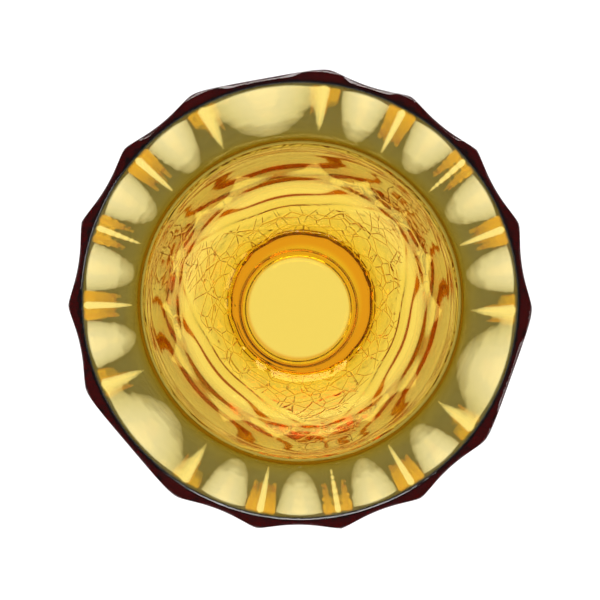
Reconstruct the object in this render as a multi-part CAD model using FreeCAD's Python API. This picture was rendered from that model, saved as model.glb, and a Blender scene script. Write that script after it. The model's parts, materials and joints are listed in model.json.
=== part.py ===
import FreeCAD, Part
import math
import os

from FreeCAD import Vector

# Hyacinth forcing vase of amber moulded glass.
# The real vase is one piece of glass. It is modelled as five zones of that wall, which meet face to face:
# foot, root_chamber, neck, bulb_cup and cup_rim.
# Origin: centre of the foot, on the plane that the vase stands on. +Z is up. Lengths are in millimetres.

# Heights above the standing plane, and of the cup above the narrowest part of the neck
bowl_height = 24.4
belly_height = 78.0
neck_height = 107.0
cup_height = 38.0

# Outside radii, measured at the arrises where there are facets
foot_radius = 16.2
bowl_radius = 29.5
belly_radius = 32.2
neck_radius = 30.9
rim_radius = 37.3

# Glass thickness of the wall, at the arrises where there are facets
heel_wall = 2.1
bowl_wall = 3.5
belly_wall = 3.9
neck_wall = 3.1
rim_wall = 2.9

# Inside, the bowl turns into the straight wall a little higher than outside
basin_above_bowl = 2.2

# Glass thickness of the floor. The hollow under it leaves a standing ring and lies a little off centre
floor_thickness = 5.1
kick_depth = 6.6
ring_width = 3.7
kick_shift_x = -0.86
kick_shift_y = -0.92

# Roundings
heel_round = 0.8
floor_round = 6.1
kick_top_round = 0.7
kick_edge_round = 0.8
lip_round = 0.7
mouth_round = 0.7

# Straight ring in the throat that carries the bulb
seat_length = 7.0
seat_below_neck = 3.0

# How far the wall leans outwards from the vertical, in degrees
heel_lean = 44.3
bowl_lean = 7.3
belly_lean = -1.2
rim_lean = 12.5
floor_lean = 54.0
basin_lean = 8.6
mouth_lean = 12.0
kick_lean = 8.8
half_turn = 180

# Length of each curve's two handles, as shares of the height that the curve spans
heel_pull_shares = (0.46, 0.25)
wall_pull_shares = (0.55, 0.45)
neck_pull_shares = (0.4, 0.3)
cup_pull_shares = (0.3, 0.4)
floor_pull_shares = (0.57, 0.15)
chamber_pull_shares = (0.27, 0.47)
mouth_pull_shares = (0.3, 0.35)

# Round the cup: three wide flat facets, and four hollow flutes between each two of them
panels = 3
flutes_between = 4
wide_turn = 35.6
flute_depth = 1.32
flute_hollow = 31.0
flute_lean = 11.4
flute_waist_lean = 4.0
flute_waist_rise = 8.0
flute_waist_depth = 0.9
flute_neck_depth = 1.1
flute_belly_depth = 1.0
flute_outlet_depth = 0.55
flute_outlet_lean = 0.5
flute_end = 42.0
facet_end = 38.0

# The textured ground of the lower bowl, and the curved ledge over it between two mould seams
ground_depth = 0.4
ledge_low = 10.0
ledge_high = 19.5
ledge_reach_share = 0.74

# Where one zone of the wall is told from the next
neck_above = 5.0
neck_below = 6.0
rim_zone = 4.0

# Every cutting shape runs this far past what it cuts
overrun = 2.0

first_panel = 90.0
total_height = neck_height + cup_height
floor_level = kick_depth + floor_thickness
basin_height = bowl_height + basin_above_bowl
seat_bottom = neck_height - seat_below_neck
seat_top = seat_bottom + seat_length
floor_radius = foot_radius - heel_wall
basin_radius = bowl_radius - bowl_wall
chamber_radius = belly_radius - belly_wall
throat_radius = neck_radius - neck_wall
mouth_radius = rim_radius - rim_wall
kick_radius = foot_radius - ring_width
flute_valley = rim_radius - flute_depth
ledge_half_width = bowl_radius * ledge_reach_share
up = Vector(0, 0, 1)


def at(radius, height):
    """A point of an outline, in the plane of the section."""
    return Vector(radius, 0, height)


def leaning(lean, length):
    """A step of that length that leans outwards from the vertical as it rises."""
    return at(length * math.sin(math.radians(lean)), length * math.cos(math.radians(lean)))


def wall_curve(start, start_lean, end, end_lean, pull_shares):
    """A smooth stretch of wall between two points, with the lean that it has at each."""
    rise = end.z - start.z
    first_step = leaning(start_lean, pull_shares[0] * rise)
    last_step = leaning(end_lean, pull_shares[1] * rise)
    bezier = Part.BezierCurve()
    bezier.setPoles([start, start + first_step, end - last_step, end])
    return bezier.toShape()


def arc(centre, radius, start, stop):
    """An arc about a centre, by its angles in degrees from the outward direction towards +Z."""
    turns = [math.radians(a) for a in (start, (start + stop) / 2, stop)]
    return Part.Arc(*[centre + at(radius * math.cos(a), radius * math.sin(a)) for a in turns]).toShape()


def last(edge):
    return edge.valueAt(edge.LastParameter)


def first(edge):
    return edge.valueAt(edge.FirstParameter)


def closed_face(edges, *corners):
    """The face inside edges that follow each other, closed by straight lines through the corners."""
    points = [last(edges[-1]), *corners, first(edges[0])]
    lines = [Part.makeLine(a, b) for a, b in zip(points, points[1:])]
    return Part.Face(Part.Wire([*edges, *lines]))


def turned(face, axis_radius=0):
    """The solid that a face makes when it turns about a vertical axis."""
    return face.revolve(at(axis_radius, 0), up, 360)


def body_curves(heel, set_back=0):
    """The outside line from the end of the heel up the bowl and the belly to the neck."""
    bowl = at(bowl_radius - set_back, bowl_height)
    belly = at(belly_radius - set_back, belly_height)
    neck = at(neck_radius - set_back, neck_height)
    return [
        wall_curve(heel, heel_lean, bowl, bowl_lean, heel_pull_shares),
        wall_curve(bowl, bowl_lean, belly, belly_lean, wall_pull_shares),
        wall_curve(belly, belly_lean, neck, 0, neck_pull_shares),
    ]


def outside():
    heel = arc(at(foot_radius, heel_round), heel_round, -90, -heel_lean)
    lip = arc(at(rim_radius - lip_round, total_height - lip_round), lip_round, -rim_lean, 90)
    body = body_curves(last(heel))
    cup = wall_curve(last(body[-1]), 0, first(lip), rim_lean, cup_pull_shares)
    return turned(closed_face([heel, *body, cup, lip], at(0, total_height), at(0, 0)))


def inside():
    """The room inside the vase: root chamber, throat and cup, open at the top."""
    corner = arc(at(floor_radius, floor_level + floor_round), floor_round, -90, -floor_lean)
    basin, widest = at(basin_radius, basin_height), at(chamber_radius, belly_height)
    throat, mouth_edge = at(throat_radius, seat_bottom), at(throat_radius, seat_top)
    lip_centre = at(mouth_radius + mouth_round, total_height - mouth_round)
    lip = arc(lip_centre, mouth_round, half_turn - mouth_lean, 90)
    edges = [
        corner,
        wall_curve(last(corner), floor_lean, basin, basin_lean, floor_pull_shares),
        wall_curve(basin, basin_lean, widest, 0, chamber_pull_shares),
        wall_curve(widest, 0, throat, 0, neck_pull_shares),
        Part.makeLine(throat, mouth_edge),
        wall_curve(mouth_edge, 0, first(lip), mouth_lean, mouth_pull_shares),
        lip,
    ]
    top = total_height + overrun
    return turned(closed_face(edges, at(last(lip).x, top), at(0, top), at(0, floor_level)))


def kick():
    """The hollow under the floor, with a rounded top and a rounded lower edge."""
    wider = (kick_depth - kick_top_round) * math.tan(math.radians(kick_lean))
    foot_edge = kick_radius + wider + kick_edge_round
    top = arc(at(kick_radius - kick_top_round, kick_depth - kick_top_round), kick_top_round, 90, kick_lean)
    edge = arc(at(foot_edge, kick_edge_round), kick_edge_round, half_turn + kick_lean, 270)
    side = Part.makeLine(last(top), first(edge))
    corners = [at(foot_edge, -overrun), at(0, -overrun), at(0, kick_depth)]
    hollow = turned(closed_face([top, side, edge], *corners))
    hollow.translate(Vector(kick_shift_x, kick_shift_y, 0))
    return hollow


def valley_curves(end):
    """The lowest line of a flute: down the cup, the neck and the belly, and out of the wall."""
    outlet = at(belly_radius - flute_outlet_depth, end)
    tail = at(outlet.x, bowl_height)
    belly = at(belly_radius - flute_belly_depth, belly_height)
    neck = at(neck_radius - flute_neck_depth, neck_height)
    waist = at(neck_radius - flute_waist_depth, neck_height + flute_waist_rise)
    top = at(flute_valley, total_height)
    return [
        Part.makeLine(tail, outlet),
        wall_curve(outlet, flute_outlet_lean, belly, belly_lean, neck_pull_shares),
        wall_curve(belly, belly_lean, neck, 0, neck_pull_shares),
        wall_curve(neck, 0, waist, flute_waist_lean, neck_pull_shares),
        wall_curve(waist, flute_waist_lean, top, flute_lean, cup_pull_shares),
        Part.makeLine(top, top + leaning(flute_lean, overrun)),
    ]


def flute_cutter():
    """A tall spool that stands outside the vase and hollows one flute."""
    axis_radius = flute_valley + flute_hollow
    edges = valley_curves(flute_end)
    ends = [at(axis_radius, last(edges[-1]).z), at(axis_radius, first(edges[0]).z)]
    return turned(closed_face(edges, *ends), axis_radius)


def facet_cutter():
    """A slab with a curved face that cuts one wide flat facet."""
    edges = valley_curves(facet_end)
    far = rim_radius + flute_hollow
    face = closed_face(edges, at(far, last(edges[-1]).z), at(far, first(edges[0]).z))
    face.translate(Vector(0, -rim_radius, 0))
    return face.extrude(Vector(0, 2 * rim_radius, 0))


def around(shape, angle):
    copy = shape.copy()
    copy.rotate(Vector(0, 0, 0), up, angle)
    return copy


def panel_angles():
    return [first_panel + i * 360 / panels for i in range(panels)]


def flute_angles():
    """The middle of each flute, counted from the edge of the wide facet before it."""
    flute_turn = (360 / panels - wide_turn) / flutes_between
    starts = [a + wide_turn / 2 for a in panel_angles()]
    return [start + (i + 0.5) * flute_turn for start in starts for i in range(flutes_between)]


def vase():
    whole = outside().cut(inside()).cut(kick())
    facets = [around(facet_cutter(), a) for a in panel_angles()]
    flutes = [around(flute_cutter(), a) for a in flute_angles()]
    for cutter in facets + flutes:
        whole = whole.cut(cutter)
    return whole


def ground():
    """The body's outside, set back by the depth of the textured ground."""
    heel = at(foot_radius + heel_round - ground_depth, 0)
    return turned(closed_face(body_curves(heel, ground_depth), at(0, neck_height), at(0, 0)))


def smooth_side(side):
    """Half of the smooth area of one panel: all that lies above the ledge, seen from outside."""
    bezier = Part.BezierCurve()
    end = Vector(0, side * ledge_half_width, ledge_high)
    bezier.setPoles([Vector(0, side * ledge_half_width * i / 3, ledge_low) for i in range(3)] + [end])
    corners = [
        Vector(0, side * belly_radius, ledge_high + belly_radius - ledge_half_width),
        Vector(0, side * belly_radius, neck_height),
        Vector(0, 0, neck_height),
    ]
    return closed_face([bezier.toShape()], *corners).extrude(Vector(belly_radius + overrun, 0, 0))


def kept_ground():
    """What the lower body may fill: the set-back ground, and the smooth area of each panel."""
    kept = ground()
    for angle in panel_angles():
        for side in (-1, 1):
            kept = kept.fuse(around(smooth_side(side), angle))
    return kept


def zone(whole, low, high):
    """The part of the glass between two heights."""
    return whole.common(Part.makeCylinder(belly_radius + rim_radius, high - low, at(0, low)))


def pieces():
    whole, kept = vase(), kept_ground()
    neck_bottom, neck_top = neck_height - neck_below, neck_height + neck_above
    lip_bottom = total_height - rim_zone
    return {
        "foot": zone(whole, 0, floor_level).common(kept),
        "root_chamber": zone(whole, floor_level, neck_bottom).common(kept),
        "neck": zone(whole, neck_bottom, neck_top),
        "bulb_cup": zone(whole, neck_top, lip_bottom),
        "cup_rim": zone(whole, lip_bottom, total_height),
    }


os.makedirs("parts", exist_ok=True)
for name, shape in pieces().items():
    print(name, len(shape.Solids), "solid", shape.isValid(), round(shape.Volume), "mm3")
    shape.exportStep(f"parts/{name}.step")
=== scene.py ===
import json
import math
from typing import NamedTuple

import bmesh
import bpy
import numpy as np
from mathutils import Matrix, Vector
from mathutils.geometry import interpolate_bezier


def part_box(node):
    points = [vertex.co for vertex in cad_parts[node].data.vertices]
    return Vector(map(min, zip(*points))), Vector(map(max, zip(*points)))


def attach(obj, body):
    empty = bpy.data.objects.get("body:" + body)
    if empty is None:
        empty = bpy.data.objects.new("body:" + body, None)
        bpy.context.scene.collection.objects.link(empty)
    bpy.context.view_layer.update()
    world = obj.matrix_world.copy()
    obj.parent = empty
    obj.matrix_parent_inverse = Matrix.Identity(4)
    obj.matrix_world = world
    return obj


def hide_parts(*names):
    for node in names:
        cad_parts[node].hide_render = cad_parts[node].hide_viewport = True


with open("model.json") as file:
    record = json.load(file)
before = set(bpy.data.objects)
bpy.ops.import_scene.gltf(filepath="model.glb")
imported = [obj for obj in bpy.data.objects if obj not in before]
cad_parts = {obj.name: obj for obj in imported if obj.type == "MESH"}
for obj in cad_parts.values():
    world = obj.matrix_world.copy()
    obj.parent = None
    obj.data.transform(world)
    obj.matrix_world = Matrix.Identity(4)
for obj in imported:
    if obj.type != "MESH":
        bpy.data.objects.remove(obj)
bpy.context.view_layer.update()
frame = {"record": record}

bl_info = {
    "name": "Hyacinth Forcing Vase",
    "version": (1, 0, 0),
    "blender": (4, 5, 0),
    "location": "View3D > Sidebar > Vase",
    "description": "Models an amber moulded glass vase for forcing a hyacinth bulb, with its table and light",
    "category": "Add Mesh",
}

GLASS_NODES = ["foot", "root_chamber", "neck", "bulb_cup", "cup_rim"]
OUTSIDE, INSIDE = 1, 2
QUARTER_TURN = math.pi / 2
FULL_TURN = 2 * math.pi
PANELS = 3
FLUTES_BETWEEN = 4
FIRST_PANEL = QUARTER_TURN
HALF_PANEL_DEGREES = 180 // PANELS
ARC_STEP = 0.0002
ARC_BLUR_DEGREES = 4
SAME_POINT = 1e-7
MERGE_DISTANCE = 1e-6
FAR_AWAY = 1.0


def mount(name):
    return next(m for m in frame["record"]["mounts"] if m["name"] == name)


THROAT = mount("throat")
THROAT_RADIUS = THROAT["dims"]["r_mm"] / 1000
SEAT_LENGTH = THROAT["dims"]["length_mm"] / 1000
SEAT_MIDDLE = THROAT["pos_m"][2]
TOTAL_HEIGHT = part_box("cup_rim")[1].z
FLOOR_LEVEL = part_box("foot")[1].z


def length(name, description, default):
    return bpy.props.FloatProperty(
        name=name, description=description, default=default, unit="LENGTH", precision=5
    )


def angle(name, description, degrees):
    return bpy.props.FloatProperty(
        name=name, description=description, default=math.radians(degrees), unit="ROTATION"
    )


def share(name, description, default):
    return bpy.props.FloatProperty(name=name, description=description, default=default, min=0, max=1)


def shares(name, description, default):
    return bpy.props.FloatVectorProperty(
        name=name, description=description, default=default, size=2, min=0, max=1
    )


def number(name, description, default):
    return bpy.props.FloatProperty(name=name, description=description, default=default)


def count(name, description, default):
    return bpy.props.IntProperty(name=name, description=description, default=default, min=1)


def colour(name, description, default):
    return bpy.props.FloatVectorProperty(
        name=name, description=description, default=default, subtype="COLOR", size=3, min=0, max=1
    )


class VaseSizes(bpy.types.PropertyGroup):
    """Sizes of the glass, in metres, with the foot's centre at the origin"""

    total_height: length("Height", "From the table to the lip", TOTAL_HEIGHT)
    waist_height: length("Waist height", "Height at which the flutes turn out into the cup", 0.115)
    neck_height: length("Neck height", "Height of the narrowest part", 0.107)
    belly_height: length("Belly height", "Height of the widest part of the body", 0.078)
    bowl_height: length("Bowl height", "Height at which the bowl turns into the steep wall, outside", 0.0244)
    basin_height: length("Basin height", "Height at which the bowl turns into the steep wall, inside", 0.0266)
    foot_radius: length("Foot radius", "Outer edge of the standing ring", 0.0162)
    bowl_radius: length("Bowl radius", "Outside, at the top of the bowl", 0.0296)
    belly_radius: length("Belly radius", "Outside, at the arrises", 0.0322)
    neck_radius: length("Neck radius", "Outside, at the arrises", 0.0309)
    rim_radius: length("Rim radius", "Outside, at the arrises", 0.0373)
    belly_valley: length("Belly valley", "Outside, in the middle of a flute, at the belly", 0.0304)
    neck_valley: length("Neck valley", "Outside, in the middle of a flute, at the neck", 0.02975)
    waist_valley: length("Waist valley", "Outside, in the middle of a flute, at the waist", 0.03)
    rim_valley: length("Rim valley", "Outside, in the middle of a flute, at the lip", 0.03598)
    floor_radius: length("Floor radius", "Flat part of the floor inside", 0.0141)
    basin_radius: length("Basin radius", "Inside, at the top of the bowl", 0.026)
    chamber_radius: length("Chamber radius", "Inside, at the belly", 0.0283)
    mouth_radius: length("Mouth radius", "Inside, at the lip", 0.03475)
    kick_depth: length("Kick depth", "Depth of the hollow under the floor", 0.0066)
    kick_radius: length("Kick radius", "Radius of the hollow's top", 0.0125)
    kick_right: length("Kick offset", "How far the hollow lies off the axis along X", -0.00086)
    kick_back: length("Kick side offset", "How far the hollow lies off the axis along Y", -0.00092)
    kick_top_round: length("Kick rounding", "Radius of the hollow's top edge", 0.0022)
    kick_edge_round: length("Kick edge rounding", "Radius of the standing ring's inner edge", 0.0008)
    heel_round: length("Heel rounding", "Radius of the outer bottom edge", 0.0008)
    floor_round: length("Floor rounding", "Radius between floor and wall inside", 0.0061)
    lip_round: length("Lip rounding", "Radius of the lip's outer edge", 0.0007)
    mouth_round: length("Mouth rounding", "Radius of the lip's inner edge", 0.0007)
    kick_lean: angle("Kick lean", "How far the hollow's side leans", 8.8)
    heel_lean: angle("Heel lean", "How far the outside leans out above the heel", 44.3)
    bowl_lean: angle("Bowl lean", "How far the outside leans out at the top of the bowl", 5)
    belly_lean: angle("Belly lean", "How far the outside leans out at the belly", -1.2)
    rim_lean: angle("Rim lean", "How far the cup's arrises lean out at the lip", 12.5)
    waist_lean: angle("Waist lean", "How far a flute's middle leans out at the waist", 8)
    flute_lean: angle("Flute lean", "How far a flute's middle leans out at the lip", 12.4)
    floor_lean: angle("Floor lean", "How far the inside leans out above the floor's rounding", 54)
    basin_lean: angle("Basin lean", "How far the inside leans out at the top of the bowl", 8.6)
    seat_lean: angle("Seat lean", "How far the cup's inside leans out just over the seat", 7)
    mouth_lean: angle("Mouth lean", "How far the cup's inside leans out at the lip", 13)
    heel_pulls: shares("Heel curve", "Reach of the curve from the heel to the bowl", (0.46, 0.25))
    wall_pulls: shares("Wall curve", "Reach of the curve from the bowl to the belly", (0.3, 0.45))
    neck_pulls: shares("Neck curve", "Reach of the curves at the neck", (0.4, 0.3))
    cup_pulls: shares("Cup curve", "Reach of the curve up the outside of the cup", (0.3, 0.4))
    flute_pulls: shares("Flute curve", "Reach of the curve up a flute in the cup", (0.3, 0.35))
    floor_pulls: shares("Floor curve", "Reach of the curve from the floor to the basin", (0.57, 0.15))
    chamber_pulls: shares("Chamber curve", "Reach of the curve from the basin to the belly", (0.27, 0.47))
    mouth_pulls: shares("Mouth curve", "Reach of the curve up the inside of the cup", (0.3, 0.35))
    wide_turn: angle("Wide facet turn", "Angle that one wide facet spans", 35.6)
    flute_hollow: length("Flute hollow", "Radius of a flute's hollow at the lip", 0.026)
    facet_end: length("Facet end", "Height below which a wide facet runs out", 0.030)
    inner_flute_end: length("Inner flute end", "Height below which the flutes by a wide facet run out", 0.038)
    outer_flute_end: length("Outer flute end", "Height below which the flutes by a seam run out", 0.036)
    run_out: number("Run out", "How fast a flute leaves the wall at its end, per metre", 17)
    arris_round: length("Arris rounding", "Softness of the edges between flutes", 0.00014)
    ground_depth: length("Ground depth", "How far the textured ground is set back", 0.0004)
    ledge_low: length("Ledge low", "Height of the ledge in a panel's middle", 0.010)
    ledge_high: length("Ledge high", "Height of the ledge at a seam", 0.0195)
    ledge_reach: length("Ledge reach", "Half the ledge's width, seen square on", 0.0218)
    ledge_round: length("Ledge rounding", "Height over which the ledge falls", 0.0007)
    ledge_power: count("Ledge curve", "How late the ledge rises on its way to a seam", 3)
    arc_reach: angle("Arc reach", "Turn from a panel's middle to the tips of its long band", 51)
    inner_arc_reach: angle("Inner arc reach", "Turn from a panel's middle to the tips of its short band", 32)
    long_band_gap: length("Long band gap", "Height from ledge to long band in a panel's middle", 0.001)
    long_band_top: length("Long band top", "Height of the long band's upper edge there", 0.0141)
    long_band_tip: length("Long band tips", "Height of the long band's tips", 0.031)
    short_band_low: length("Short band low", "Height of the short band's lower edge there", 0.0161)
    short_band_top: length("Short band top", "Height of the short band's upper edge there", 0.0245)
    short_band_tip: length("Short band tips", "Height of the short band's tips", 0.035)
    band_low_power: count("Lower edge curve", "How late a band's lower edge rises on its way to the tips", 6)
    band_top_power: count("Upper edge curve", "How late a band's upper edge rises on its way to the tips", 3)
    arc_soft: length("Arc softness", "Height over which a band begins or ends", 0.0006)
    arc_top: length("Arc top", "Height above which the wall is plain", 0.047)
    arc_fade: length("Arc fade", "Height over which the added leans run out below that", 0.006)
    heel_fade: length("Heel fade", "Height over which they run out above the heel", 0.002)
    arc_lean: angle("Band lean", "Lean added to the outside inside a band", 4)
    plain_lean: angle("Plain lean", "Lean added outside the bands", -0.9)
    ground_lean: angle("Ground lean", "Lean added under the ledge", 1)
    middle_lean: angle("Middle lean", "Further lean added outside the bands, below the upper bend", 1.8)
    middle_height: length("Middle height", "Height of the upper bend", 0.039)
    middle_gain: number("Middle gain", "Growth of that lean in the sides, in side shares", 2)
    low_lean: angle("Low lean", "Further lean added outside the bands, below the lower bend", -5.5)
    low_height: length("Low height", "Height of the lower bend", 0.0222)
    low_soft: length("Low softness", "Height over which a bend comes in, each way", 0.0025)
    side_start: angle("Side start", "Turn from a panel's middle at which its sides begin", 15)
    side_share: share("Side share", "How much of the low lean is gone at twice that turn", 0.12)
    line_lean: angle("Line lean", "Lean added in the dark line over the ledge", -14)
    line_width: length("Line width", "Height of that line", 0.001)
    line_soft: length("Line softness", "Height over which the line begins or ends", 0.0003)
    line_fade: share("Line fade", "Part of the arc reach at which the line begins to run out", 0.8)
    seam_height: length("Seam height", "How far a mould seam stands out", 0.00014)
    seam_width: length("Seam width", "Half width of a mould seam", 0.00035)
    seam_pitch: length("Seam pitch", "Distance between the small beads along a seam", 0.0026)
    bead_share: share("Bead share", "Share of a seam's height that rises and falls with the beads", 0.4)


class MeshSettings(bpy.types.PropertyGroup):
    """How finely the glass is divided"""

    turns: count("Steps round", "Faces in one ring", 360)
    fine: length("Fine spacing", "Ring spacing over the texture and the arcs", 0.00056)
    fine_height: length("Fine height", "Height up to which the rings are that close", 0.046)
    medium: length("Medium spacing", "Ring spacing outside, in the basin and in the cup", 0.0016)
    coarse: length("Coarse spacing", "Ring spacing on the floor and in the body and throat", 0.0026)
    valley: length("Valley spacing", "Spacing of the points that a flute's lowest line runs through", 0.0005)
    kick_steps: count("Kick steps", "Rings round each edge of the hollow under the floor", 5)
    heel_steps: count("Heel steps", "Rings round the outer bottom edge", 4)
    floor_steps: count("Floor steps", "Rings round the edge of the floor inside", 8)
    lip_steps: count("Lip steps", "Rings round the lip's outer edge", 6)
    mouth_steps: count("Mouth steps", "Rings round the lip's inner edge", 5)


class NeedleSettings(bpy.types.PropertyGroup):
    """The needle texture of the lower bowl: short ties, each with stalks that fan out to both sides"""

    rows: count("Rows", "Rows of ties", 5)
    ties: count("Ties", "Ties in one row", 18)
    stalks: count("Stalks", "Stalks on each side of a tie", 4)
    stalk_length: length("Stalk length", "Length of the longest stalks", 0.009)
    stalk_width: length("Stalk width", "Half width of a stalk", 0.0003)
    stalk_height: length("Stalk height", "How far a stalk stands out", 0.00008)
    tie_length: length("Tie length", "Length of a tie", 0.0026)
    tie_gap: length("Tie gap", "Distance between a tie's two lines", 0.0009)
    tie_height: length("Tie height", "How far a tie stands out", 0.00014)
    along_scatter: share("Scatter along", "Largest random shift of a tie along its row, in ties", 0.28)
    across_scatter: share("Scatter across", "Largest random shift of a tie across its row, in rows", 0.35)
    tilt: number("Tilt", "Largest random tilt of a tie, in radians", 0.35)
    fan: number("Fan", "Angle over which a tie's stalks fan out, in radians", 1.1)
    fan_scatter: number("Fan scatter", "Largest random turn of a stalk, in radians", 0.12)
    shortest: share("Shortest stalk", "Length of the shortest stalks, as a share of the longest", 0.55)
    stalk_spread: share("Stalk spread", "Share of a tie that its stalks start from", 0.8)
    bend_place: share("Bend place", "Part of a stalk's length at which it bends", 0.55)
    bend_rise: share("Bend rise", "Rise of a stalk up to its bend, in lengths times slope", 0.45)
    end_rise: share("End rise", "Rise of a stalk from its bend to its end, in the same measure", 0.5)
    end_slope: number("End slope", "How much steeper a stalk is past its bend", 1.5)
    search_room: number("Search room", "How far round a tie its relief is worked out, in longest stalks", 1.3)
    seed: bpy.props.IntProperty(name="Seed", description="Chooses the scatter of the texture", default=7)


class GlassSettings(bpy.types.PropertyGroup):
    """The amber glass"""

    tint: colour("Surface tint", "Colour that is left after two surfaces", (0.98, 0.92, 0.74))
    body: colour("Body colour", "Colour that the glass turns white light towards", (0.958, 0.868, 0.25))
    density: number("Density", "How strongly the body colours light, per metre", 500)
    ior: number("IOR", "Index of refraction", 1.52)
    roughness: share("Roughness", "Roughness of the fire-polished surface", 0.0)
    ripple: length("Ripple", "Height of the faint ripples that the mould leaves", 0.00002)
    ripple_scale: number("Ripple scale", "Ripples in one metre", 90)
    ripple_detail: number("Ripple detail", "Detail of the ripples", 2)
    hair_scale: number("Hair scale", "Cells of the fine lines in the ground, per metre", 150)
    hair_step: number("Hair step", "How much finer the second net of fine lines is", 1.37)
    hair_width: length("Hair width", "Width of one fine line", 0.00022)
    hair_height: length("Hair height", "Height of the fine lines", 0.00006)


class StageSettings(bpy.types.PropertyGroup):
    """Table, light and camera"""

    camera_distance: length("Camera distance", "From the camera to the plane of the lip", 0.35)
    camera_right: length("Camera right", "Camera's offset from the axis, to the picture's right", 0.0008)
    camera_down: length("Camera down", "Camera's offset from the axis, to the picture's bottom", 0.0022)
    camera_turn: angle("Camera turn", "Turn of the picture about the line of sight", -10.3)
    pixels_per_metre: number("Scale", "Picture pixels in one metre at the lip", 6243)
    floor_radius: length("Table radius", "Radius of the pale table", 1.2)
    floor_sides: count("Table sides", "Corners of the table's edge", 96)
    floor_colour: colour("Table colour", "Colour of the table", (0.9, 0.9, 0.9))
    floor_glow: share("Table glow", "Share of the table's white that doesn't take shadow", 0.95)
    floor_white: number("Table white", "Brightness of that share", 1.1)
    # Painted shadow: the shade settings colour the table's glow amber-dark in a ring under the standing ring,
    # in place of the shadow that the glass casts there.
    shade_colour: colour("Shade colour", "Colour of the table under the standing ring", (0.9, 0.64, 0.36))
    shade_start: length("Shade start", "Radius at which that colour begins to come in", 0.012)
    shade_inner: length("Shade inner radius", "Inner radius of its full ring", 0.0141)
    shade_outer: length("Shade outer radius", "Outer radius of its full ring", 0.0159)
    shade_stop: length("Shade stop", "Radius at which it is gone", 0.0171)
    shade_span: length("Shade span", "Radius that the ring's colour ramp covers", 0.03)
    horizon: number("Horizon", "Brightness of the surroundings at eye level", 1)
    zenith: number("Zenith", "Brightness of the surroundings overhead", 0.12)
    horizon_end: share("Horizon end", "Sine of the height at which the surroundings begin to dim", 0.05)
    zenith_start: share("Zenith start", "Sine of the height at which they are as dim as overhead", 0.6)


PICTURE_SIZE = 600
SENSOR = 36
BOUNCES = {"max_bounces": 40, "transmission_bounces": 40, "glossy_bounces": 12, "transparent_max_bounces": 16}


class Lamp(NamedTuple):
    """One area light, placed by the picture's right and up and by its height over the table"""

    name: str
    right: float
    up: float
    height: float
    size: tuple
    power: float


LAMPS = [
    Lamp("window", right=0, up=0.75, height=0.75, size=(0.9, 0.6), power=14),
    Lamp("fill", right=0.9, up=-0.3, height=0.8, size=(0.5, 0.5), power=3),
]


def at(radius, height):
    return np.array([radius, height])


def leaning(lean, reach):
    return at(reach * math.sin(lean), reach * math.cos(lean))


def curve(start, start_step, end_step, end, spacing):
    """Points of a smooth curve in the section, about one spacing apart."""
    handles = [Vector((*p, 0)) for p in (start, start + start_step, end - end_step, end)]
    steps = max(2, round(float(np.linalg.norm(end - start)) / spacing))
    return np.array([p[:2] for p in interpolate_bezier(*handles, steps + 1)])


def arc(centre, radius, start, stop, steps):
    turn = np.linspace(start, stop, steps + 1)[:, None]
    return centre + radius * np.hstack([np.cos(turn), np.sin(turn)])


def straight(start, end, spacing):
    steps = max(1, round(float(np.linalg.norm(end - start)) / spacing))
    return np.linspace(start, end, steps + 1)


def wall_curve(start, start_lean, end, end_lean, pulls, spacing):
    """A smooth stretch of wall between two points, with the lean that it has at each."""
    rise = end[1] - start[1]
    start_step, end_step = leaning(start_lean, pulls[0] * rise), leaning(end_lean, pulls[1] * rise)
    return curve(start, start_step, end_step, end, spacing)


def outside_line(s, m):
    """The section's outside, from the middle of the hollow under the floor up to the top of the lip."""
    foot_edge = s.kick_radius + (s.kick_depth - s.kick_top_round) * math.tan(s.kick_lean) + s.kick_edge_round
    kick_top_middle = at(s.kick_radius - s.kick_top_round, s.kick_depth - s.kick_top_round)
    kick_top = arc(kick_top_middle, s.kick_top_round, QUARTER_TURN, s.kick_lean, m.kick_steps)
    kick_foot_middle, kick_foot_start = at(foot_edge, s.kick_edge_round), 2 * QUARTER_TURN + s.kick_lean
    kick_foot = arc(kick_foot_middle, s.kick_edge_round, kick_foot_start, 3 * QUARTER_TURN, m.kick_steps)
    heel = arc(at(s.foot_radius, s.heel_round), s.heel_round, -QUARTER_TURN, -s.heel_lean, m.heel_steps)
    bowl, belly = at(s.bowl_radius, s.bowl_height), at(s.belly_radius, s.belly_height)
    neck = at(s.neck_radius, s.neck_height)
    lip_middle = at(s.rim_radius - s.lip_round, s.total_height - s.lip_round)
    lip = arc(lip_middle, s.lip_round, -s.rim_lean, QUARTER_TURN, m.lip_steps)
    low = joined([
        wall_curve(heel[-1], s.heel_lean, bowl, s.bowl_lean, s.heel_pulls, m.medium),
        wall_curve(bowl, s.bowl_lean, belly, s.belly_lean, s.wall_pulls, m.medium),
    ])
    return [
        straight(at(0, s.kick_depth), kick_top[0], m.coarse),
        kick_top,
        straight(kick_top[-1], kick_foot[0], m.fine * 2),
        kick_foot,
        straight(kick_foot[-1], heel[0], m.fine * 2),
        heel,
        refined(low, m.fine_height, m.fine),
        wall_curve(belly, s.belly_lean, neck, 0, s.neck_pulls, m.medium),
        wall_curve(neck, 0, lip[0], s.rim_lean, s.cup_pulls, m.medium),
        lip,
    ]


def refined(points, up_to, spacing):
    """The same line with its points close together below a height."""
    heights = points[:, 1]
    low = np.interp(up_to, heights, points[:, 0])
    first = at(low, up_to) - points[0]
    steps = round(float(np.linalg.norm(first)) / spacing)
    fine = np.linspace(heights[0], up_to, steps, endpoint=False)
    dense = np.column_stack([smooth_radius(points, fine), fine])
    return np.vstack([dense, points[heights > up_to]])


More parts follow.
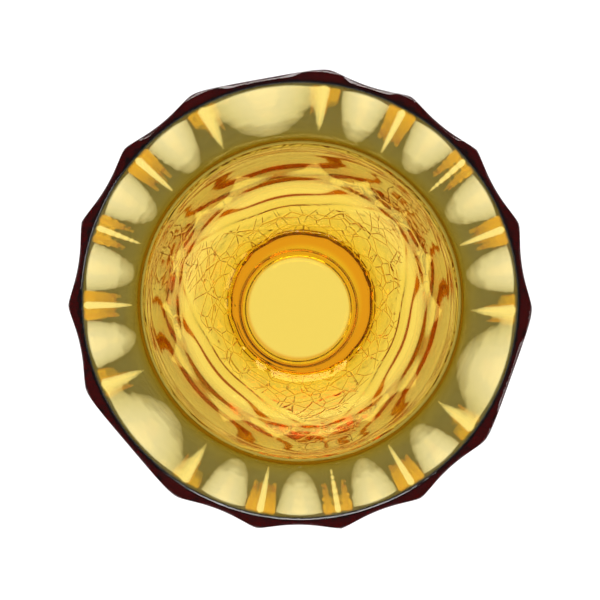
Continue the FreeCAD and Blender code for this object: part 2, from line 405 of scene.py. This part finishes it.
def smooth_radius(points, heights):
    """Radii of a line between its own points, by local parabolas, so that no facets show."""
    z, r = points[:, 1], points[:, 0]
    i = np.clip(np.searchsorted(z, heights) - 1, 1, len(z) - 2)
    z0, z1, z2, r0, r1, r2 = z[i - 1], z[i], z[i + 1], r[i - 1], r[i], r[i + 1]
    return (
        r0 * (heights - z1) * (heights - z2) / ((z0 - z1) * (z0 - z2))
        + r1 * (heights - z0) * (heights - z2) / ((z1 - z0) * (z1 - z2))
        + r2 * (heights - z0) * (heights - z1) / ((z2 - z0) * (z2 - z1))
    )


def inside_line(s, m):
    """The section's inside, from the top of the lip down to the axis on the floor."""
    corner_middle = at(s.floor_radius, FLOOR_LEVEL + s.floor_round)
    corner = arc(corner_middle, s.floor_round, -QUARTER_TURN, -s.floor_lean, m.floor_steps)
    basin, belly = at(s.basin_radius, s.basin_height), at(s.chamber_radius, s.belly_height)
    throat = at(THROAT_RADIUS, SEAT_MIDDLE - SEAT_LENGTH / 2)
    seat = at(THROAT_RADIUS, SEAT_MIDDLE + SEAT_LENGTH / 2)
    lip_middle = at(s.mouth_radius + s.mouth_round, s.total_height - s.mouth_round)
    lip = arc(lip_middle, s.mouth_round, math.pi - s.mouth_lean, QUARTER_TURN, m.mouth_steps)
    upwards = [
        straight(at(0, FLOOR_LEVEL), corner[0], m.coarse),
        corner,
        wall_curve(corner[-1], s.floor_lean, basin, s.basin_lean, s.floor_pulls, m.medium),
        wall_curve(basin, s.basin_lean, belly, 0, s.chamber_pulls, m.coarse),
        wall_curve(belly, 0, throat, 0, s.neck_pulls, m.coarse),
        straight(throat, seat, m.coarse),
        wall_curve(seat, s.seat_lean, lip[0], s.mouth_lean, s.mouth_pulls, m.medium),
        lip,
    ]
    return [line[::-1] for line in reversed(upwards)]


def joined(lines):
    """One list of points, without the doubles where two lines meet."""
    points = np.vstack(lines)
    apart = np.linalg.norm(np.diff(points, axis=0), axis=1) > SAME_POINT
    return points[np.concatenate([[True], apart])]


def spin_section(points, sides, turns):
    """A closed skin: the section turned once round. Its vertices keep their side and their run along it."""
    bm = bmesh.new()
    side_layer = bm.verts.layers.int.new("side")
    run_layer = bm.verts.layers.float.new("run")
    runs = np.concatenate([[0], np.cumsum(np.linalg.norm(np.diff(points, axis=0), axis=1))])
    verts = []
    for point, side, run in zip(points, sides, runs):
        vert = bm.verts.new((point[0], 0, point[1]))
        vert[side_layer], vert[run_layer] = int(side), float(run)
        verts.append(vert)
    edges = [bm.edges.new(pair) for pair in zip(verts, verts[1:])]
    bmesh.ops.spin(
        bm, geom=verts + edges, cent=(0, 0, 0), axis=(0, 0, 1), dvec=(0, 0, 0), angle=FULL_TURN,
        steps=turns, use_merge=True, use_normal_flip=False, use_duplicate=False, space=Matrix(),
    )
    bmesh.ops.remove_doubles(bm, verts=bm.verts, dist=MERGE_DISTANCE)
    bmesh.ops.recalc_face_normals(bm, faces=bm.faces)
    return bm


def wrapped(angle):
    """An angle brought between minus and plus half a turn."""
    return (angle + math.pi) % FULL_TURN - math.pi


def panel_angles():
    return [FIRST_PANEL + i * FULL_TURN / PANELS for i in range(PANELS)]


def flute_angles(s):
    turn = (FULL_TURN / PANELS - s.wide_turn) / FLUTES_BETWEEN
    return [a + s.wide_turn / 2 + (i + 0.5) * turn for a in panel_angles() for i in range(FLUTES_BETWEEN)]


def turned_about(axis_radius, reach, turn):
    """Radius at an angle of the circle with its centre on an axis beside the vase's own, on its near side."""
    root = reach**2 - (axis_radius * np.sin(turn)) ** 2
    near = axis_radius * np.cos(turn) - np.sqrt(np.maximum(root, 0))
    return np.where((root > 0) & (np.cos(turn) > 0), near, FAR_AWAY)


def valley_radius(s, m, end, heights):
    """Radius of a flute's lowest line at each height. Below its end the line leaves the wall."""
    foot, bowl = at(s.foot_radius, 0), at(s.bowl_radius, s.bowl_height)
    belly, neck = at(s.belly_valley, s.belly_height), at(s.neck_valley, s.neck_height)
    waist, top = at(s.waist_valley, s.waist_height), at(s.rim_valley, s.total_height)
    line = joined([
        wall_curve(foot, s.heel_lean, bowl, s.bowl_lean, s.heel_pulls, m.valley),
        wall_curve(bowl, s.bowl_lean, belly, s.belly_lean, s.wall_pulls, m.valley),
        wall_curve(belly, s.belly_lean, neck, 0, s.neck_pulls, m.valley),
        wall_curve(neck, 0, waist, s.waist_lean, s.neck_pulls, m.valley),
        wall_curve(waist, s.waist_lean, top, s.flute_lean, s.flute_pulls, m.valley),
    ])
    return smooth_radius(line, heights) + s.run_out * np.maximum(end - heights, 0) ** 2


def soft_least(surfaces, softness):
    """The least of several radii, with the edges between them rounded."""
    stack = np.stack(surfaces)
    least = stack.min(axis=0)
    spread = np.exp((least - stack) / softness).sum(axis=0)
    return least - softness * np.log(spread)


def fluted(s, m, radius, turn, heights):
    """The outside with its three wide facets and the hollow flutes between them."""
    surfaces = [radius]
    ends = [s.inner_flute_end, s.outer_flute_end, s.outer_flute_end, s.inner_flute_end]
    flutes = {end: valley_radius(s, m, end, heights) for end in set(ends)}
    facet = valley_radius(s, m, s.facet_end, heights)
    axis_radius = s.rim_valley + s.flute_hollow
    for a, end in zip(flute_angles(s), ends * PANELS):
        surfaces.append(turned_about(axis_radius, axis_radius - flutes[end], wrapped(turn - a)))
    panel_edge = math.cos(math.pi / PANELS)
    for a in panel_angles():
        facing = np.cos(wrapped(turn - a))
        surfaces.append(np.where(facing > panel_edge, facet / np.maximum(facing, panel_edge), FAR_AWAY))
    return soft_least(surfaces, s.arris_round)


def smoothstep(low, high, value):
    t = np.clip((value - low) / (high - low), 0, 1)
    return t * t * (3 - 2 * t)


def ledge_height(s, radius, turn):
    """Height of the ledge at a turn from its panel's middle: it rises towards the seams."""
    outward = radius * np.sin(turn) / s.ledge_reach
    return s.ledge_low + (s.ledge_high - s.ledge_low) * outward**s.ledge_power


def ground_mask(s, radius, turn, heights):
    """1 on the textured ground under the ledge, 0 on the smooth panels."""
    nearest = np.min([np.abs(wrapped(turn - a)) for a in panel_angles()], axis=0)
    return smoothstep(s.ledge_round / 2, -s.ledge_round / 2, heights - ledge_height(s, radius, nearest))


def band(s, turn, reach, heights, low, top, tip):
    """1 inside a crescent band whose tips turn up away from its panel's middle, 0 outside it."""
    along = np.minimum(turn / reach, 1)
    low_edge = low + (tip - low) * along**s.band_low_power
    top_edge = top + (tip - top) * along**s.band_top_power
    over, under = (smoothstep(-s.arc_soft, s.arc_soft, x) for x in (heights - low_edge, top_edge - heights))
    return over * under


def arc_slope(s, turn, heights):
    """Lean that the nested arcs add to the outside, at a turn from their panel's middle."""
    long_low = s.ledge_low + s.long_band_gap
    long = band(s, turn, s.arc_reach, heights, long_low, s.long_band_top, s.long_band_tip)
    short = band(s, turn, s.inner_arc_reach, heights, s.short_band_low, s.short_band_top, s.short_band_tip)
    inside = np.maximum(long, short)
    low = smoothstep(s.low_height + s.low_soft, s.low_height - s.low_soft, heights)
    middle = smoothstep(s.middle_height + s.low_soft, s.middle_height - s.low_soft, heights)
    aside = s.side_share * smoothstep(s.side_start, 2 * s.side_start, turn)
    plain = s.plain_lean + s.middle_lean * (1 + s.middle_gain * aside) * middle
    plain += s.low_lean * (1 - aside) * low
    over = heights - ledge_height(s, s.bowl_radius, turn)
    smooth = smoothstep(-s.arc_soft, s.arc_soft, over)
    slope = s.ground_lean + (plain + (s.arc_lean - plain) * inside - s.ground_lean) * smooth
    line = smoothstep(0, s.line_soft, over) * smoothstep(s.line_width, s.line_width - s.line_soft, over)
    slope += s.line_lean * line * smoothstep(s.arc_reach, s.arc_reach * s.line_fade, turn)
    below_top = smoothstep(s.arc_top, s.arc_top - s.arc_fade, heights)
    above_heel = smoothstep(0, s.heel_fade, heights - s.heel_round)
    return slope * below_top * above_heel


def arc_grid(s):
    """Levels, and the nested arcs' height at each of them for each whole degree of a panel."""
    levels = np.arange(s.heel_round, s.arc_top, ARC_STEP)
    degrees = np.arange(-HALF_PANEL_DEGREES, HALF_PANEL_DEGREES + 1)
    turn, heights = np.meshgrid(np.abs(np.radians(degrees)), levels, indexing="ij")
    below = np.cumsum(np.tan(arc_slope(s, turn, heights)) * ARC_STEP, axis=1)
    relief = below - below[:, -1:]
    blur = ARC_BLUR_DEGREES
    mirrored = np.vstack([relief[blur:0:-1], relief, relief[-2 : -2 - blur : -1]])
    weights = np.hanning(2 * blur + 3)[1:-1]
    return levels, sum(w * mirrored[i : i + len(relief)] for i, w in enumerate(weights)) / weights.sum()


def arc_relief(s, turn, heights):
    """Height of the nested arcs at each point, between the levels and degrees of their grid."""
    levels, grid = arc_grid(s)
    turns = wrapped(turn[:, None] - np.array(panel_angles()))
    from_middle = turns[np.arange(len(turn)), np.abs(turns).argmin(axis=1)]
    across = np.degrees(from_middle) + HALF_PANEL_DEGREES
    up = np.clip((heights - levels[0]) / ARC_STEP, 0, len(levels) - 1)
    i = np.clip(across.astype(int), 0, 2 * HALF_PANEL_DEGREES - 1)
    j = np.clip(up.astype(int), 0, len(levels) - 2)
    u, v = across - i, up - j
    low_row = grid[i, j] * (1 - v) + grid[i, j + 1] * v
    high_row = grid[i + 1, j] * (1 - v) + grid[i + 1, j + 1] * v
    return low_row * (1 - u) + high_row * u


def seams(s, radius, turn, heights):
    """Height of the three mould seams, with the small beads along them."""
    nearest = np.min([np.abs(wrapped(turn - a - math.pi / PANELS)) for a in panel_angles()], axis=0)
    beads = 1 - s.bead_share + s.bead_share * np.cos(FULL_TURN * heights / s.seam_pitch)
    return s.seam_height * beads * np.exp(-((radius * nearest / s.seam_width) ** 2))


def stroke(x, y, start, end, width):
    """How strongly each point lies on one straight stroke, from 0 to 1."""
    (x0, y0), (x1, y1) = start, end
    dx, dy = x1 - x0, y1 - y0
    t = np.clip(((x - x0) * dx + (y - y0) * dy) / (dx * dx + dy * dy), 0, 1)
    away = np.hypot(x - x0 - t * dx, y - y0 - t * dy)
    return np.exp(-((away / width) ** 2))


def stalks(n, rng, side):
    """The stalks on one side of a tie's middle, each as one stroke up to its bend and one past it."""
    for k in range(n.stalks):
        slope = (k - (n.stalks - 1) / 2) / n.stalks * n.fan + rng.uniform(-n.fan_scatter, n.fan_scatter)
        long = n.stalk_length * rng.uniform(n.shortest, 1)
        start = (side * n.tie_gap / 2, n.tie_length / 2 * slope * n.stalk_spread)
        bend = (side * long * n.bend_place, start[1] + long * n.bend_rise * math.sin(slope))
        end = (side * long, bend[1] + long * n.end_rise * math.sin(slope * n.end_slope))
        yield start, bend
        yield bend, end


def needle_relief(n, radius, turn, runs):
    """Height of the needle texture at each point of the ground, from the points' places in the section."""
    rng = np.random.default_rng(n.seed)
    relief = np.zeros_like(radius)
    row_gap = (runs.max() - runs.min()) / n.rows
    reach = n.stalk_length * n.search_room
    for row in range(n.rows):
        middle = runs.min() + (row + 0.5) * row_gap
        row_radius = float(np.median(radius[np.abs(runs - middle) < row_gap]))
        for i in range(n.ties):
            along = rng.uniform(-n.along_scatter, n.along_scatter)
            a = (i + 0.5 * (row % 2) + along) * FULL_TURN / n.ties
            centre = middle + rng.uniform(-n.across_scatter, n.across_scatter) * row_gap
            x, y = wrapped(turn - a) * row_radius, runs - centre
            near = (np.abs(x) < reach) & (np.abs(y) < reach)
            x, y = x[near], y[near]
            half, gap = n.tie_length / 2, n.tie_gap / 2
            lean = half * math.tan(rng.uniform(-n.tilt, n.tilt))
            added = np.zeros_like(x)
            for side in (-1, 1):
                tie = stroke(x, y, (side * gap - lean, -half), (side * gap + lean, half), n.stalk_width)
                added = np.maximum(added, n.tie_height * tie)
                for start, end in stalks(n, rng, side):
                    added = np.maximum(added, n.stalk_height * stroke(x, y, start, end, n.stalk_width))
            relief[near] = np.maximum(relief[near], added)
    return relief


def attribute(mesh, name, kind):
    values = np.zeros(len(mesh.vertices), kind)
    mesh.attributes[name].data.foreach_get("value", values)
    return values


def shape_glass(mesh, s, m, n):
    """Gives the turned skin its flutes, facets, arcs, ledge, needles, seams and the hollow's offset."""
    places = np.zeros(len(mesh.vertices) * 3)
    mesh.vertices.foreach_get("co", places)
    places = places.reshape(-1, 3)
    out = attribute(mesh, "side", np.int32) == OUTSIDE
    runs = attribute(mesh, "run", np.float32)[out]
    x, y, z = places[out].T
    radius, turn = np.hypot(x, y), np.arctan2(y, x)
    wall = radius > s.foot_radius
    shaped = radius.copy()
    body = z > s.ledge_high
    shaped[body] = fluted(s, m, radius[body], turn[body], z[body])
    ground = wall * ground_mask(s, shaped, turn, z) * smoothstep(s.heel_round, 3 * s.heel_round, z)
    arcs = wall & (z < s.arc_top)
    shaped[arcs] += arc_relief(s, turn[arcs], z[arcs])
    shaped -= s.ground_depth * ground
    low = wall & (z > s.heel_round) & (z < s.ledge_high + s.ledge_round)
    needles = needle_relief(n, shaped[low], turn[low], runs[low])
    shaped[low] += needles * ground[low] * smoothstep(3 * s.heel_round, 6 * s.heel_round, z[low])
    above = wall & (z > 2 * s.heel_round)
    shaped[above] += seams(s, shaped[above], turn[above], z[above])
    marks = np.zeros(len(mesh.vertices))
    marks[out] = ground
    mesh.attributes.new("ground", "FLOAT", "POINT").data.foreach_set("value", marks)
    moved = places[out]
    hollow = smoothstep(s.foot_radius, s.kick_radius + 2 * s.kick_edge_round, radius)
    hollow *= z < s.kick_depth + MERGE_DISTANCE
    moved[:, 0] = shaped * np.cos(turn) + s.kick_right * hollow
    moved[:, 1] = shaped * np.sin(turn) + s.kick_back * hollow
    places[out] = moved
    mesh.vertices.foreach_set("co", places.ravel())
    mesh.update()


class Maths:
    """A shader value whose sums, products and quotients add Math nodes."""

    def __init__(self, book, socket):
        self.book, self.socket = book, socket

    def made(self, operation, *values):
        node = self.book.node("ShaderNodeMath", {"operation": operation}, *values)
        return Maths(self.book, node.outputs[0])

    def __add__(self, other):
        return self.made("ADD", self, other)

    def __rsub__(self, other):
        return self.made("SUBTRACT", other, self)

    def __mul__(self, other):
        return self.made("MULTIPLY", self, other)

    def __truediv__(self, other):
        return self.made("DIVIDE", self, other)

    def highest(self, other):
        return self.made("MAXIMUM", self, other)

    def clamped(self):
        return self.made("MINIMUM", self.highest(0.0), 1.0)


class NodeBook:
    """Adds nodes to one material or world."""

    def __init__(self, owner):
        owner.use_nodes = True
        self.tree = owner.node_tree
        self.tree.nodes.clear()

    def node(self, kind, settings=None, *values, **named):
        made = self.tree.nodes.new(kind)
        for key, value in (settings or {}).items():
            setattr(made, key, value)
        for key, value in [*enumerate(values), *((k.replace("_", " "), v) for k, v in named.items())]:
            socket = made.inputs[key]
            value = value.socket if isinstance(value, Maths) else value
            if isinstance(value, bpy.types.NodeSocket):
                self.tree.links.new(value, socket)
            else:
                socket.default_value = value
        return made

    def maths(self, socket):
        return Maths(self, socket)


def hair_lines(book, place, g, scale):
    """1 on a net of fine straight lines, 0 between them."""
    net = book.node(
        "ShaderNodeTexVoronoi", {"feature": "DISTANCE_TO_EDGE"}, Vector=place, Scale=scale, Randomness=1.0
    ).outputs["Distance"]
    return book.maths(book.node(
        "ShaderNodeMapRange", {"interpolation_type": "SMOOTHSTEP"}, Value=net, From_Min=0.0,
        From_Max=g.hair_width * scale, To_Min=1.0, To_Max=0.0,
    ).outputs[0])


def amber_glass(g):
    """Clear glass that colours the light inside it. Its ripples and the ground's finest lines are bump."""
    material = bpy.data.materials.new("amber_glass")
    book = NodeBook(material)
    place = book.node("ShaderNodeTexCoord").outputs["Object"]
    ripple = book.node(
        "ShaderNodeTexNoise", {}, Vector=place, Scale=g.ripple_scale, Detail=g.ripple_detail
    ).outputs["Fac"]
    bump = book.node("ShaderNodeBump", {}, Strength=1.0, Distance=g.ripple, Height=ripple)
    marks = book.maths(book.node("ShaderNodeAttribute", {"attribute_name": "ground"}).outputs["Fac"])
    wide = hair_lines(book, place, g, g.hair_scale)
    hairs = wide.highest(hair_lines(book, place, g, g.hair_scale * g.hair_step)) * marks
    bump = book.node(
        "ShaderNodeBump", {}, Strength=1.0, Distance=g.hair_height, Height=hairs, Normal=bump.outputs[0]
    )
    shell = book.node(
        "ShaderNodeBsdfPrincipled", {}, Base_Color=(*g.tint, 1), Roughness=g.roughness, IOR=g.ior,
        Transmission_Weight=1.0, Normal=bump.outputs[0],
    )
    body = book.node("ShaderNodeVolumeAbsorption", {}, Color=(*g.body, 1), Density=g.density)
    book.node("ShaderNodeOutputMaterial", {}, Surface=shell.outputs[0], Volume=body.outputs[0])
    return material


def table_material(t):
    """Pale table. Most of its white is a plain glow, with a painted amber shadow in a ring where the vase
    stands.
    """
    material = bpy.data.materials.new("pale_table")
    book = NodeBook(material)
    path = book.node("ShaderNodeLightPath").outputs
    seen = (book.maths(path["Is Camera Ray"]) + path["Is Glossy Ray"] + path["Is Transmission Ray"]).clamped()
    grey = [c * (1 - t.floor_glow) for c in t.floor_colour]
    matte = book.node("ShaderNodeBsdfDiffuse", {}, Color=(*grey, 1))
    place = book.node("ShaderNodeTexCoord").outputs["Object"]
    away = book.node("ShaderNodeVectorMath", {"operation": "LENGTH"}, place).outputs["Value"]
    # Painted shadow: a colour ramp over the distance from the axis turns the glow amber-dark under the
    # standing ring.
    ring = book.node("ShaderNodeValToRGB", {}, Fac=book.maths(away) / t.shade_span)
    ramp = ring.color_ramp
    ramp.interpolation = "EASE"
    white, shade = (1, 1, 1, 1), (*t.shade_colour, 1)
    spots = ((t.shade_start, white), (t.shade_inner, shade), (t.shade_outer, shade), (t.shade_stop, white))
    for radius, tone in spots:
        ramp.elements.new(radius / t.shade_span).color = tone
    ramp.elements[0].color = ramp.elements[-1].color = white
    glow = book.node("ShaderNodeEmission", {}, Color=ring.outputs["Color"], Strength=seen * t.floor_white)
    both = book.node("ShaderNodeAddShader", {}, matte.outputs[0], glow.outputs[0])
    book.node("ShaderNodeOutputMaterial", {}, Surface=both.outputs[0])
    return material


def surroundings(t):
    """White to the camera. To the glass, bright at eye level and dim overhead, as in a room."""
    world = bpy.data.worlds.new("surroundings")
    book = NodeBook(world)
    direction = book.node("ShaderNodeTexCoord").outputs["Generated"]
    height = book.node("ShaderNodeSeparateXYZ", {}, direction).outputs["Z"]
    rise = book.node(
        "ShaderNodeMapRange", {"interpolation_type": "SMOOTHSTEP"}, Value=height, From_Min=t.horizon_end,
        From_Max=t.zenith_start, To_Min=t.horizon, To_Max=t.zenith,
    ).outputs[0]
    camera = book.maths(book.node("ShaderNodeLightPath").outputs["Is Camera Ray"])
    strength = camera + (1 - camera) * rise
    background = book.node("ShaderNodeBackground", {}, Color=(1, 1, 1, 1), Strength=strength)
    book.node("ShaderNodeOutputWorld", {}, Surface=background.outputs[0])
    return world


def new_object(name, bm, material):
    mesh = bpy.data.meshes.new(name)
    bm.to_mesh(mesh)
    bm.free()
    made = bpy.data.objects.new(name, mesh)
    bpy.context.scene.collection.objects.link(made)
    mesh.materials.append(material)
    return made


def picture_axes(t):
    """The picture's right and up as directions in the vase's frame."""
    turn = t.camera_turn
    return Vector((math.cos(turn), math.sin(turn), 0)), Vector((-math.sin(turn), math.cos(turn), 0))


class VASE_OT_glass(bpy.types.Operator):
    """Model the amber glass: one closed skin with flutes, facets, arcs, needle texture and mould seams"""

    bl_idname = "vase.glass"
    bl_label = "Glass"

    def execute(self, context):
        s, m, n = context.scene.vase_sizes, context.scene.vase_mesh, context.scene.vase_needles
        outer, inner = joined(outside_line(s, m)), joined(inside_line(s, m))
        points = np.vstack([outer, inner])
        sides = [OUTSIDE] * len(outer) + [INSIDE] * len(inner)
        bm = spin_section(points, sides, m.turns)
        glass = new_object("vase_glass", bm, amber_glass(context.scene.vase_glass))
        shape_glass(glass.data, s, m, n)
        glass.data.shade_smooth()
        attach(glass, "root")
        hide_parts(*GLASS_NODES)
        return {"FINISHED"}


class VASE_OT_stage(bpy.types.Operator):
    """Add the pale table, the soft light, the surroundings and the camera"""

    bl_idname = "vase.stage"
    bl_label = "Stage"

    def execute(self, context):
        t = context.scene.vase_stage
        bm = bmesh.new()
        bmesh.ops.create_circle(bm, cap_ends=True, segments=t.floor_sides, radius=t.floor_radius)
        table = new_object("table", bm, table_material(t))
        for lamp in LAMPS:
            self.add_light(context, t, lamp)
        context.scene.world = surroundings(t)
        self.add_camera(context, t)
        scene = context.scene
        scene.view_settings.view_transform = "Standard"
        for name, bounces in BOUNCES.items():
            setattr(scene.cycles, name, bounces)
        return {"FINISHED"}

    def add_light(self, context, t, lamp):
        right, up = picture_axes(t)
        light = bpy.data.lights.new(lamp.name, "AREA")
        light.shape, light.size, light.size_y, light.energy = "RECTANGLE", *lamp.size, lamp.power
        made = bpy.data.objects.new(lamp.name, light)
        made.location = right * lamp.right + up * lamp.up + Vector((0, 0, lamp.height))
        made.rotation_euler = (-made.location).to_track_quat("-Z", "Y").to_euler()
        context.scene.collection.objects.link(made)

    def add_camera(self, context, t):
        right, up = picture_axes(t)
        rim = Vector((0, 0, context.scene.vase_sizes.total_height))
        place = rim + right * t.camera_right - up * t.camera_down + Vector((0, 0, t.camera_distance))
        camera = bpy.data.objects.new("camera", bpy.data.cameras.new("camera"))
        camera.data.sensor_width = SENSOR
        camera.data.lens = SENSOR * t.camera_distance * t.pixels_per_metre / PICTURE_SIZE
        back = (place - rim).normalized()
        side = up.cross(back).normalized()
        facing = Matrix([side, back.cross(side), back]).transposed().to_4x4()
        camera.matrix_world = Matrix.Translation(place) @ facing
        context.scene.collection.objects.link(camera)
        context.scene.camera = camera


class VASE_PT_panel(bpy.types.Panel):
    """Lists the vase's pieces and their sizes"""

    bl_idname = "VASE_PT_panel"
    bl_label = "Hyacinth Vase"
    bl_space_type = "VIEW_3D"
    bl_region_type = "UI"
    bl_category = "Vase"

    def draw(self, context):
        for operator in (VASE_OT_glass, VASE_OT_stage):
            self.layout.operator(operator.bl_idname)
        for name, group in GROUPS.items():
            box = self.layout.box()
            settings = getattr(context.scene, name)
            for key in group.__annotations__:
                box.prop(settings, key)


GROUPS = {
    "vase_sizes": VaseSizes,
    "vase_mesh": MeshSettings,
    "vase_needles": NeedleSettings,
    "vase_glass": GlassSettings,
    "vase_stage": StageSettings,
}
CLASSES = [*GROUPS.values(), VASE_OT_glass, VASE_OT_stage, VASE_PT_panel]


def register():
    for made in CLASSES:
        bpy.utils.register_class(made)
    for name, group in GROUPS.items():
        setattr(bpy.types.Scene, name, bpy.props.PointerProperty(type=group))


def unregister():
    for name in GROUPS:
        delattr(bpy.types.Scene, name)
    for made in reversed(CLASSES):
        bpy.utils.unregister_class(made)


def main():
    register()
    bpy.ops.vase.glass()
    bpy.ops.vase.stage()


if __name__ == "__main__":
    main()
